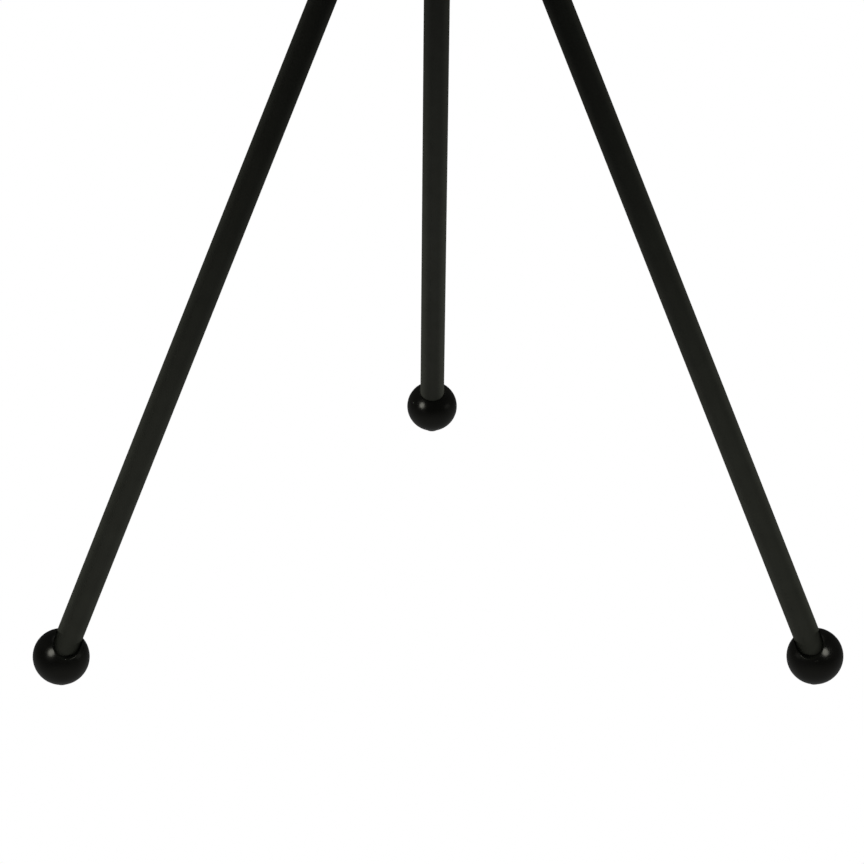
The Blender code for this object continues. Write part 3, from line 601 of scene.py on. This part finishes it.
CORE_R = 22 * MM
EAR_R, EAR_INNER, EAR_OUTER = 11 * MM, 7.4 * MM, 13.4 * MM
BOSS_R, BOSS_END, STUD_HOLE_R = 9 * MM, 31 * MM, 4.3 * MM
SPOT_FACE_R, SPOT_FACE_DEPTH = 6.8 * MM, 0.15 * MM


def hub():
    """The cast hub: a round core, a pair of ears for each leg and the clamp's boss, with machined bores."""
    _, low, high = measure("hub", HUB)
    bush_radius = inner_radius("hub", HUB)
    corners = [(0, low, 0), (CORE_R, low, 2.2 * MM), (CORE_R, high, 2.2 * MM), (0, high, 0)]
    obj = piece("hub" + FINE, shell(rounded(corners), 128), HUB)
    boss = [(0, 14 * MM, 0), (BOSS_R, 14 * MM, 0), (BOSS_R, BOSS_END, 1.2 * MM), (0, BOSS_END, 0)]
    added = [piece("boss", shell(rounded(boss), 64), CLAMP)]
    bores = [bore("column_bore", bush_radius, low, high, HUB, count=128)]
    bores.append(bore("clamp_bore", STUD_HOLE_R, 0, BOSS_END, CLAMP, open_below=False))
    ear = [(-20 * MM, -EAR_R), *arc((0, 0), EAR_R, -90, 90, 36), (-12 * MM, 15 * MM), (-20 * MM, 15 * MM)]
    for side in SIDES:
        for start in (EAR_INNER, -EAR_OUTER):
            solid = prism(ear, start, start + EAR_OUTER - EAR_INNER, 1.2 * MM)
            added.append(piece("ear", solid, PIVOT[side] @ UPRIGHT))
        seat, rim = EAR_OUTER - SPOT_FACE_DEPTH, 0.4 * MM
        half = [(BOLT_HOLE_R, seat - rim), (BOLT_HOLE_R + rim, seat), (SPOT_FACE_R, seat)]
        half += [(SPOT_FACE_R, 20 * MM), (0, 20 * MM)]
        both_ends = [(radius, -z) for radius, z in half[::-1]] + half
        bores.append(piece("ear_bore", shell(both_ends, 96), PIVOT[side] @ ALONG_Y))
    combine(obj, added, "UNION")
    cast(obj, 0.6 * MM, 6)
    combine(obj, bores, "DIFFERENCE")
    done(obj, "hub", CAST, "hub")


def column():
    bush_radius = inner_radius("hub", HUB) - GAP
    bore_radius = inner_radius("column_bush", HUB)
    flange_radius, low, high = measure("column_bush", HUB)
    flange = high - 2.5 * MM
    corners = [(bore_radius, low, 0.5 * MM), (bush_radius, low, 0.5 * MM), (bush_radius, flange, 0)]
    corners += [(flange_radius, flange, 0.3 * MM), (flange_radius, high, 1.2 * MM)]
    corners += [(bore_radius, high, 0.7 * MM)]
    obj = piece("column_bush" + FINE, shell(rounded(corners), 128), HUB)
    side_hole = bore("side_hole", STUD_HOLE_R, 5 * MM, bush_radius, CLAMP, 0.2 * MM, open_below=False)
    combine(obj, [side_hole], "DIFFERENCE")
    done(obj, "hub", NYLON, "column_bush")
    ring("column_tube", STAND, "column", COAT, 0.4 * MM, 128)
    radius, low, high = measure("column_end_cap", STAND)
    seat = measure("column_tube", STAND)[1] - GAP
    spigot = inner_radius("column_tube", STAND) - GAP
    corners = [(0, low + 0.8 * MM, 0), (6 * MM, low + 0.8 * MM, 0.5 * MM), (7 * MM, low, 0.4 * MM)]
    corners += [(radius, low, 2.4 * MM), (radius, seat, 0.4 * MM), (spigot, seat, 0)]
    corners += [(spigot, high, 0.8 * MM)]
    turned_piece("column_end_cap", shell([*rounded(corners), (0, high)]), STAND, "column", KNOB)
    radius, low, high = measure("column_head", STAND)
    base, top = measure("column_tube", STAND)[2] + GAP, measure("pan_washer", STAND)[1] - GAP
    stud, groove = 4 * MM, 0.7 * MM
    corners = [(0, low, 0), (spigot, low, 0.8 * MM), (spigot, base, 0), (radius, base, 0.8 * MM)]
    middle = (base + top) / 2
    corners += [(radius, middle - groove, 0), (radius - 0.5 * MM, middle, 0), (radius, middle + groove, 0)]
    corners += [(radius, top, 0.8 * MM), (stud, top, 0)]
    rings = [*rounded(corners), *thread(stud, 1.25 * MM, high - 12 * MM, high - 0.6 * MM)]
    rings += [(stud - 0.7 * MM, high), (0, high)]
    turned_piece("column_head", shell(rings, 96), STAND, "column", CAST)
    ring("pan_washer", STAND, "column", NYLON, 0.3 * MM)
    hex_nut("pan_nut", STAND, "column", 13 * MM)


def clamp():
    radius, low, high = measure("clamp_shoe", CLAMP)
    shoe = [(0, low, 0), (radius, low, 0.3 * MM), (radius, high, 0.3 * MM), (0, high, 0)]
    turned_piece("clamp_shoe", shell(rounded(shoe), 64), CLAMP, "hub", BRASS)
    radius, low, high = measure("clamp_screw", CLAMP)
    screw = [(0, low), (radius - 0.7 * MM, low)]
    screw += thread(radius, 1.25 * MM, low + 0.6 * MM, high - 0.6 * MM)
    screw += [(radius - 0.7 * MM, high), (0, high)]
    turned_piece("clamp_screw", shell(screw, 64), CLAMP, "clamp", BLACK_STEEL)
    knob("clamp_knob", CLAMP, "clamp", 3.2 * MM, 7, 2 * MM, 8 * MM, 4 * MM, STUD_HOLE_R, high + GAP)


# ---- head ------------------------------------------------------------------------------------------

TILT_EAR_INNER, TILT_EAR_OUTER, TILT_EAR_HALF = 8.4 * MM, 14.4 * MM, 10 * MM
TILT_TONGUE_HALF, TILT_EYE_R = 7 * MM, 9.5 * MM
PLATE_LOW, PLATE_HALF_X, PLATE_HALF_Y = 13.5 * MM, 20 * MM, 12 * MM
SCREW_X, SCREW_HOLE_R = 13 * MM, 2.8 * MM


def pan_head():
    base, low, _ = measure("swivel_base", STAND)
    top = measure("pan_nut", STAND)[1] - GAP
    corners = [(0, low, 0), (18 * MM, low, 1.2 * MM), (18 * MM, top, 1.5 * MM), (0, top, 0)]
    obj = piece("swivel_base" + FINE, shell(rounded(corners), 128), STAND)
    foot_z = top - TILT.translation.z - 2 * MM
    outline = [(TILT_EAR_HALF, foot_z), *arc((0, 0), TILT_EAR_HALF, 0, 180, 40), (-TILT_EAR_HALF, foot_z)]
    ears = []
    for start in (TILT_EAR_INNER, -TILT_EAR_OUTER):
        ear = prism(outline, start, start + TILT_EAR_OUTER - TILT_EAR_INNER, MM)
        ears.append(piece("ear", ear, TILT @ SIDEWAYS))
    combine(obj, ears, "UNION")
    cast(obj, 0.5 * MM, 5)
    bores = [bore("stud_bore", STUD_HOLE_R, low, top, STAND)]
    bores.append(bore("tilt_bore", BOLT_HOLE_R, -TILT_EAR_OUTER, TILT_EAR_OUTER, TILT @ SIDEWAYS))
    bores.append(bore("lock_bore", SCREW_HOLE_R, 0, 18 * MM, PAN_LOCK, open_below=False))
    combine(obj, bores, "DIFFERENCE")
    done(obj, "pan_head", CAST, "swivel_base")
    along = TILT @ ALONG_X
    cap_bolt("tilt_bolt", along, "pan_head", 3 * MM, 5.2 * MM, 4 * MM, MM, 4.5 * MM)
    for node in ("tilt_washer_left", "tilt_washer_right"):
        ring(node, along, "pan_head", NYLON, 0.2 * MM)
    ring("tilt_knob_washer", along, "pan_head", ZINC, 0.25 * MM)
    end = measure("tilt_bolt", along)[2] + GAP
    knob("tilt_knob", along, "tilt_knob", 2.4 * MM, 6, 1.6 * MM, 7 * MM, 2 * MM, BOLT_HOLE_R, end)
    pan_lock()


def pan_lock():
    """The thumb screw, with a straight-knurled head."""
    radius, low, high = measure("pan_lock_screw", PAN_LOCK)
    grip = lambda angle: radius - 0.35 * MM * abs(math.sin(24 * angle))
    neck, shank = 5 * MM, 2.5 * MM
    start = high - 7.5 * MM
    rings = [(0, low), (shank - 0.4 * MM, low), *thread(shank, 0.8 * MM, low + 0.5 * MM, start - 2.6 * MM)]
    rings += [(shank, start - 2 * MM), (neck - 0.3 * MM, start - 2 * MM), (neck, start - 1.7 * MM)]
    rings += [(neck, start - 0.4 * MM), (radius - 0.9 * MM, start), (radius - 0.35 * MM, start + 0.3 * MM)]
    rings += [(grip, start + 0.9 * MM), (grip, high - 1.2 * MM), (radius - 0.35 * MM, high - 0.6 * MM)]
    rings += [(radius - 0.9 * MM, high - 0.1 * MM), (radius - 1.3 * MM, high), (radius - 2.2 * MM, high)]
    rings += [(radius - 2.6 * MM, high - 0.5 * MM), (0, high - 0.7 * MM)]
    turned_piece("pan_lock_screw", shell(rings, 192), PAN_LOCK, "pan_lock", BLACK_STEEL)


def tilt_block():
    high = measure("tilt_block", TILT)[2]
    eye = [(TILT_EYE_R, PLATE_LOW + MM), (-TILT_EYE_R, PLATE_LOW + MM)]
    eye += arc((0, 0), TILT_EYE_R, 180, 360, 40)
    obj = piece("tilt_block" + FINE, prism(eye, -TILT_TONGUE_HALF, TILT_TONGUE_HALF), TILT @ SIDEWAYS)
    corners = [(1, 1), (-1, 1), (-1, -1), (1, -1)]
    plate = rounded([(PLATE_HALF_X * x, PLATE_HALF_Y * y, 3 * MM) for x, y in corners], 8)
    combine(obj, [piece("plate", prism(plate, PLATE_LOW, high, MM), TILT)], "UNION")
    cast(obj, 0.5 * MM, 5)
    bores = [bore("tilt_bore", BOLT_HOLE_R, -TILT_TONGUE_HALF, TILT_TONGUE_HALF, TILT @ SIDEWAYS)]
    for x in (-SCREW_X, SCREW_X):
        bores.append(bore("plate_bore", SCREW_HOLE_R, PLATE_LOW, high, shifted(TILT, x=x)))
    combine(obj, bores, "DIFFERENCE")
    done(obj, "yoke", CAST, "tilt_block")


# ---- yoke ------------------------------------------------------------------------------------------

FLOOR_HALF, BEND_R, ARM = 26 * MM, 12 * MM, 60 * MM
FLARE = math.radians(12)
TIP_R, TIP_TURN = 12 * MM, math.radians(48)
STRAP, LINER = 3 * MM, 5 * MM
RIVETS_AT = (16 * MM, 44 * MM)
STRAP_Z = measure("tilt_block", TILT)[2] + GAP + STRAP / 2


def half_path(inset, arm, tip):
    """The right half of the yoke's centre line, moved inwards by inset: the floor, bend, arm and tip."""
    points = [Vector((FLOOR_HALF * i / 12, STRAP_Z + inset)) for i in range(12)]
    centre = Vector((FLOOR_HALF, STRAP_Z + BEND_R))
    turn = 90 - math.degrees(FLARE)
    points += [Vector(point) for point in arc(centre, BEND_R - inset, -90, -90 + turn, 16)]
    along = Vector((math.sin(FLARE), math.cos(FLARE)))
    start = points[-1]
    points += [start + along * arm * i / 24 for i in range(1, 25)]
    if tip:
        first = 180 - math.degrees(FLARE)
        centre = points[-1] + Vector((along.y, -along.x)) * TIP_R
        tip_arc = arc(centre, TIP_R, first, first - math.degrees(TIP_TURN), 24)
        points += [Vector(point) for point in tip_arc[1:]]
    return points


def sweep(path, section):
    """A closed skin along the path and its mirror image in X. The section's loop of (y, out) points depends
    on the distance from the path's end."""
    points = [Vector((-point.x, point.y)) for point in path[:0:-1]] + list(path)
    lengths = [0.0]
    for before, after in zip(points, points[1:]):
        lengths.append(lengths[-1] + (after - before).length)
    bm = bmesh.new()
    loops = []
    for i, point in enumerate(points):
        along = (points[min(i + 1, len(points) - 1)] - points[max(i - 1, 0)]).normalized()
        inward = Vector((-along.y, along.x))
        loop = []
        for y, out in section(min(lengths[i], lengths[-1] - lengths[i])):
            at = point + inward * out
            loop.append(bm.verts.new((at.x, y, at.y)))
        loops.append(loop)
    for low, high in zip(loops, loops[1:]):
        for i in range(len(low)):
            j = (i + 1) % len(low)
            bm.faces.new((low[i], low[j], high[j], high[i]))
    bm.faces.new(loops[0])
    bm.faces.new(loops[-1])
    bmesh.ops.triangulate(bm, faces=bm.faces)
    return bm


def strap_section(half, thickness, edge, corner):
    """A rounded oblong that narrows over the strap's last millimetres."""

    def section(distance):
        shrink = corner - math.sqrt(max(0, corner**2 - max(0, corner - distance) ** 2))
        y, out = half - shrink, thickness / 2
        return rounded([(y, out, edge), (-y, out, edge), (-y, -out, edge), (y, -out, edge)])

    return section


def liner_section(half, thickness):
    """A rubber pad's section, with grooves along its inner face."""

    def section(distance):
        end = max(0, 0.8 * MM - distance)
        y, out = half - end, thickness / 2
        points = [(-y, out, 0.8 * MM), (-y, -out, 0.8 * MM), (y, -out, 0.8 * MM), (y, out, 0.8 * MM)]
        loop = rounded(points)
        for middle in (8, 4, 0, -4, -8):
            for across, depth in ((0.9, 0), (0.5, 0.6), (-0.5, 0.6), (-0.9, 0)):
                loop.append(((middle + across) * MM, out - depth * MM))
        return loop

    return section


def rivet_frames():
    """A frame on the strap's centre line for each rivet, with Z pointing out of the yoke."""
    frames = {}
    path = half_path(0, ARM, False)
    start, along = path[-25], (path[-1] - path[-25]).normalized()
    for side, sign in (("left", -1), ("right", 1)):
        turn = Matrix.Rotation(sign * (math.radians(90) + FLARE), 4, "Y")
        for number, distance in enumerate(RIVETS_AT, 1):
            at = start + along * distance
            frames[f"{side}_rivet_{number}"] = TILT @ Matrix.Translation((sign * at.x, 0, at.y)) @ turn
    return frames


def rivet(node, matrix):
    """A domed head on both ends of a plain shank."""
    head, low, high = measure(node, matrix)
    shank, outer = 1.5 * MM, STRAP / 2 + GAP
    dish = -STRAP / 2 - GAP - LINER + 1.6 * MM
    dome = [(math.sin(turn), math.cos(turn)) for turn in (math.radians(15 * i) for i in range(7))]
    rings = [(head * across, dish - (dish - low) * up) for across, up in dome]
    rings += [(shank, dish), (shank, outer)]
    rings += [(head * across, outer + (high - outer) * up) for across, up in dome[::-1]]
    turned_piece(node, shell(rings, 64), matrix, "yoke", BLACK_STEEL)


def yoke():
    half = (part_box("yoke_frame")[1].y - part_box("yoke_frame")[0].y) / 2
    strap = sweep(half_path(0, ARM, True), strap_section(half, STRAP, 0.9 * MM, 9 * MM))
    strap = piece("yoke_frame" + FINE, strap, TILT)
    inset = STRAP / 2 + GAP + LINER / 2
    liner = sweep(half_path(inset, ARM - 4 * MM, False), liner_section(half - MM, LINER))
    liner = piece("yoke_liner" + FINE, liner, TILT)
    strap_cuts, liner_cuts = [], []
    for side, x in (("left", -SCREW_X), ("right", SCREW_X)):
        node = f"yoke_screw_{side}"
        at = shifted(TILT, x=x)
        head, low, high = measure(node, at)
        top = STRAP_Z + STRAP / 2
        floor = high - 1.6 * MM
        screw = [(0, low), (2.1 * MM, low), *thread(2.5 * MM, 0.8 * MM, low + 0.5 * MM, high - 2.3 * MM)]
        screw += [(2.5 * MM, high - 2 * MM), (head, high - 0.1 * MM), (head - 0.1 * MM, high)]
        screw += [(1.9 * MM, high), (hexagon(3 * MM), high - 0.3 * MM), (hexagon(2.9 * MM), floor)]
        screw += [(0, floor - 0.5 * MM)]
        turned_piece(node, shell(screw, 96), at, "yoke", ZINC)
        room = [(0, top - 6 * MM), (SCREW_HOLE_R, top - 6 * MM), (SCREW_HOLE_R, top - 2.5 * MM)]
        room += [(head + 0.5 * MM, top + 0.1 * MM), (head + 0.5 * MM, top + MM), (0, top + MM)]
        strap_cuts.append(piece("screw_room", shell(room, 64), at))
    inner, outer = -STRAP / 2 - GAP - LINER, STRAP / 2 + GAP
    dish = inner + 1.6 * MM
    for node, at in rivet_frames().items():
        rivet(node, at)
        strap_cuts.append(bore("rivet_hole", 1.8 * MM, -STRAP / 2, STRAP / 2, at, 0.2 * MM))
        room = [(0, inner - MM), (4.2 * MM, inner - MM), (4.2 * MM, inner), (3.6 * MM, inner + 0.6 * MM)]
        room += [(3.6 * MM, dish + GAP), (1.8 * MM, dish + GAP), (1.8 * MM, outer + MM), (0, outer + MM)]
        liner_cuts.append(piece("rivet_room", shell(room, 64), at))
    combine(strap, strap_cuts, "DIFFERENCE")
    combine(liner, liner_cuts, "DIFFERENCE")
    done(strap, "yoke", STRAP_COAT, "yoke_frame")
    done(liner, "yoke", RUBBER, "yoke_liner")


for side in SIDES:
    leg_pieces(side)
hub()
column()
clamp()
pan_head()
tilt_block()
yoke()


# ---- studio ----------------------------------------------------------------------------------------

CAMERA_AT = (-0.03495, -2.80994, 1.28191)
CAMERA_DOWN, CAMERA_YAW, CAMERA_ROLL = 0.39976, -0.01152, 0.00443
LENS, SENSOR = 169.96, 36
LIGHTS_AIM = Vector((0, 0, 0.15))
SOFTBOX_AWAY = 3.2


def camera():
    """The photograph's viewpoint: a long lens that looks down 23 degrees."""
    lens = bpy.data.cameras.new("camera")
    lens.sensor_width = SENSOR
    lens.lens = LENS
    lens.clip_end = 60
    obj = bpy.data.objects.new("camera", lens)
    bpy.context.scene.collection.objects.link(obj)
    yaw = Matrix.Rotation(CAMERA_YAW, 3, "Z")
    ahead = yaw @ Vector((0, math.cos(CAMERA_DOWN), -math.sin(CAMERA_DOWN)))
    right = yaw @ X
    level = axes(CAMERA_AT, right, right.cross(ahead), -ahead)
    obj.matrix_world = level @ Matrix.Rotation(CAMERA_ROLL, 4, "Z")
    bpy.context.scene.camera = obj


def softbox(name, azimuth, elevation, size, radiance, diffuse=True, glossy=True):
    """A light that faces the feet. Azimuth 0 is in front and 90 is on the right."""
    light = bpy.data.lights.new(name, "AREA")
    light.shape = "ELLIPSE" if glossy else "RECTANGLE"
    light.size, light.size_y = size
    light.energy = radiance * math.pi * size[0] * size[1]
    obj = bpy.data.objects.new(name, light)
    bpy.context.scene.collection.objects.link(obj)
    a, e = math.radians(azimuth), math.radians(elevation)
    back = Vector((math.sin(a) * math.cos(e), -math.cos(a) * math.cos(e), math.sin(e)))
    obj.location = LIGHTS_AIM + back * SOFTBOX_AWAY
    obj.rotation_euler = back.to_track_quat("Z", "Y").to_euler()
    obj.visible_camera = False
    obj.visible_diffuse = diffuse
    obj.visible_glossy = glossy
    return obj


def flag(light, low, high, least):
    """Cuts the light off softly with height, as a card in front of it would. Low and high are the rise of its
    rays, and least is what is left above."""
    light.data.use_nodes = True
    tree = light.data.node_tree
    cut = map_range(tree, ray_rise(tree), low, high, 1.0, least)
    tree.links.new(cut, tree.nodes["Emission"].inputs["Strength"])


def light_only(light, pieces):
    """Lets the light fall on these pieces and nothing else."""
    group = bpy.data.collections.new(f"lit_by_{light.name}")
    for obj in pieces:
        group.objects.link(obj)
    light.light_linking.receiver_collection = group


def ray_switch(tree, ray, otherwise, for_ray):
    """One value for a kind of ray and another for the rest."""
    switch = tree.nodes.new("ShaderNodeMix")
    tree.links.new(tree.nodes.new("ShaderNodeLightPath").outputs[ray], switch.inputs["Factor"])
    for socket, value in ((switch.inputs["A"], otherwise), (switch.inputs["B"], for_ray)):
        if isinstance(value, bpy.types.NodeSocket):
            tree.links.new(value, socket)
        else:
            socket.default_value = value
    return switch.outputs["Result"]


def map_range(tree, value, low, high, to_low, to_high, interpolation="SMOOTHSTEP"):
    node = tree.nodes.new("ShaderNodeMapRange")
    node.interpolation_type = interpolation
    tree.links.new(value, node.inputs["Value"])
    for index, number in enumerate((low, high, to_low, to_high), 1):
        node.inputs[index].default_value = number
    return node.outputs[0]


def ray_rise(tree):
    """How steeply a ray climbs, as the Z of its direction."""
    split = tree.nodes.new("ShaderNodeSeparateXYZ")
    tree.links.new(tree.nodes.new("ShaderNodeNewGeometry").outputs["Incoming"], split.inputs[0])
    return split.outputs["Z"]


def white_floor(scene):
    """A floor that glows, as painted light. The camera sees the white backdrop through it, so folded legs and
    the underside show.
    It blocks no light, and rays from below pass through it. Its glow is a painted pool of light round the
    feet, fading a metre out. The feet reflect it as a painted reflection of dim grey, lighter straight below
    them than far away."""
    mesh = bpy.data.meshes.new("floor")
    mesh.from_pydata([(-30, -30, 0), (30, -30, 0), (30, 30, 0), (-30, 30, 0)], [], [(0, 1, 2, 3)])
    floor = bpy.data.objects.new("floor", mesh)
    scene.collection.objects.link(floor)
    floor.visible_camera = False
    floor.visible_shadow = False
    material = bpy.data.materials.new("floor")
    material.use_nodes = True
    tree = material.node_tree
    shader = tree.nodes["Principled BSDF"]
    shader.inputs["Base Color"].default_value = (0.02, 0.02, 0.02, 1)
    shader.inputs["Roughness"].default_value = 0.9
    shader.inputs["Specular IOR Level"].default_value = 0.0
    length = tree.nodes.new("ShaderNodeVectorMath")
    length.operation = "LENGTH"
    tree.links.new(tree.nodes.new("ShaderNodeTexCoord").outputs["Object"], length.inputs[0])
    # painted light: the floor glows, brightest round the feet, a painted pool of light on the legs' lower
    # ends
    painted_glow_near_feet = map_range(tree, length.outputs["Value"], 0.2, 1.0, 0.28, 0.05)
    # painted reflection: what glossy rays see of the floor, dim grey, lighter for rays rising steeply from it
    painted_reflection_of_floor = map_range(tree, ray_rise(tree), 0.05, 0.7, 0.008, 0.135, "LINEAR")
    tree.links.new(ray_switch(tree, "Is Glossy Ray", painted_glow_near_feet, painted_reflection_of_floor), shader.inputs["Emission Strength"])
    shader.inputs["Emission Color"].default_value = (1, 1, 1, 1)
    two_sided = tree.nodes.new("ShaderNodeMixShader")
    tree.links.new(tree.nodes.new("ShaderNodeNewGeometry").outputs["Backfacing"], two_sided.inputs[0])
    tree.links.new(shader.outputs[0], two_sided.inputs[1])
    tree.links.new(tree.nodes.new("ShaderNodeBsdfTransparent").outputs[0], two_sided.inputs[2])
    tree.links.new(two_sided.outputs[0], tree.nodes["Material Output"].inputs["Surface"])
    mesh.materials.append(material)


def studio():
    """White all round for the camera. The leg rods are lit from the front and both sides, the ball feet get
    their highlights from lights of their own, and so do the hub and the head."""
    scene = bpy.context.scene
    scene.view_settings.view_transform = "Standard"
    left, right, rear = (bpy.data.objects[f"{side}_foot_ball{FINE}"] for side in SIDES)
    for name, azimuth, elevation, balls in (("left", -46, 29, (left, right)),
                                            ("right", 46, 29, (left, right)),
                                            ("rear", -55, 16, (rear,))):
        light_only(softbox(f"key_{name}", azimuth, elevation, (1.4, 1.4), 3.1, diffuse=False), balls)
    for name, azimuth, balls in (("left", -78, (right,)), ("right", 78, (left, rear))):
        light_only(softbox(f"glow_{name}", azimuth, 0, (1.6, 1.2), 0.15, diffuse=False), balls)
    light_only(softbox("glow_top", 180, 80, (4.0, 4.0), 0.15, diffuse=False), (left, right, rear))
    for name, legs, reach in (("front", ("left_leg", "right_leg"), (-0.105, 0.01, 0.03)),
                              ("rear", ("rear_leg",), (-0.08, 0.04, 0.1))):
        fill = softbox(f"fill_{name}", 0, 5, (2.5, 0.15), 50, glossy=False)
        flag(fill, *reach)
        light_only(fill, [obj for leg in legs for obj in RIDERS[leg]])
    for name, azimuth in (("left", -118), ("right", 118)):
        flag(softbox(f"side_{name}", azimuth, 5, (1.2, 0.3), 150, glossy=False), -0.105, 0.01, 0.35)
    softbox("top", 0, 88, (3.2, 3.2), 1.4, glossy=False)
    upper = [bpy.data.objects[f"{side}_leg_knuckle{FINE}"] for side in SIDES]
    upper += [obj for body, riders in RIDERS.items() if not body.endswith("_leg") for obj in riders]
    for azimuth, elevation, radiance in ((-40, 40, 8), (55, 25, 3.5), (150, 35, 7), (-125, 25, 4)):
        light_only(softbox(f"upper_{azimuth}", azimuth, elevation, (1.5, 1.5), radiance), upper)
    world = bpy.data.worlds.new("studio")
    scene.world = world
    world.use_nodes = True
    background = world.node_tree.nodes["Background"]
    background.inputs["Color"].default_value = (1, 1, 1, 1)
    tree = world.node_tree
    unseen = ray_switch(tree, "Is Glossy Ray", 0.03, 0.02)
    tree.links.new(ray_switch(tree, "Is Camera Ray", unseen, 1.0), background.inputs["Strength"])
    white_floor(scene)


camera()
studio()
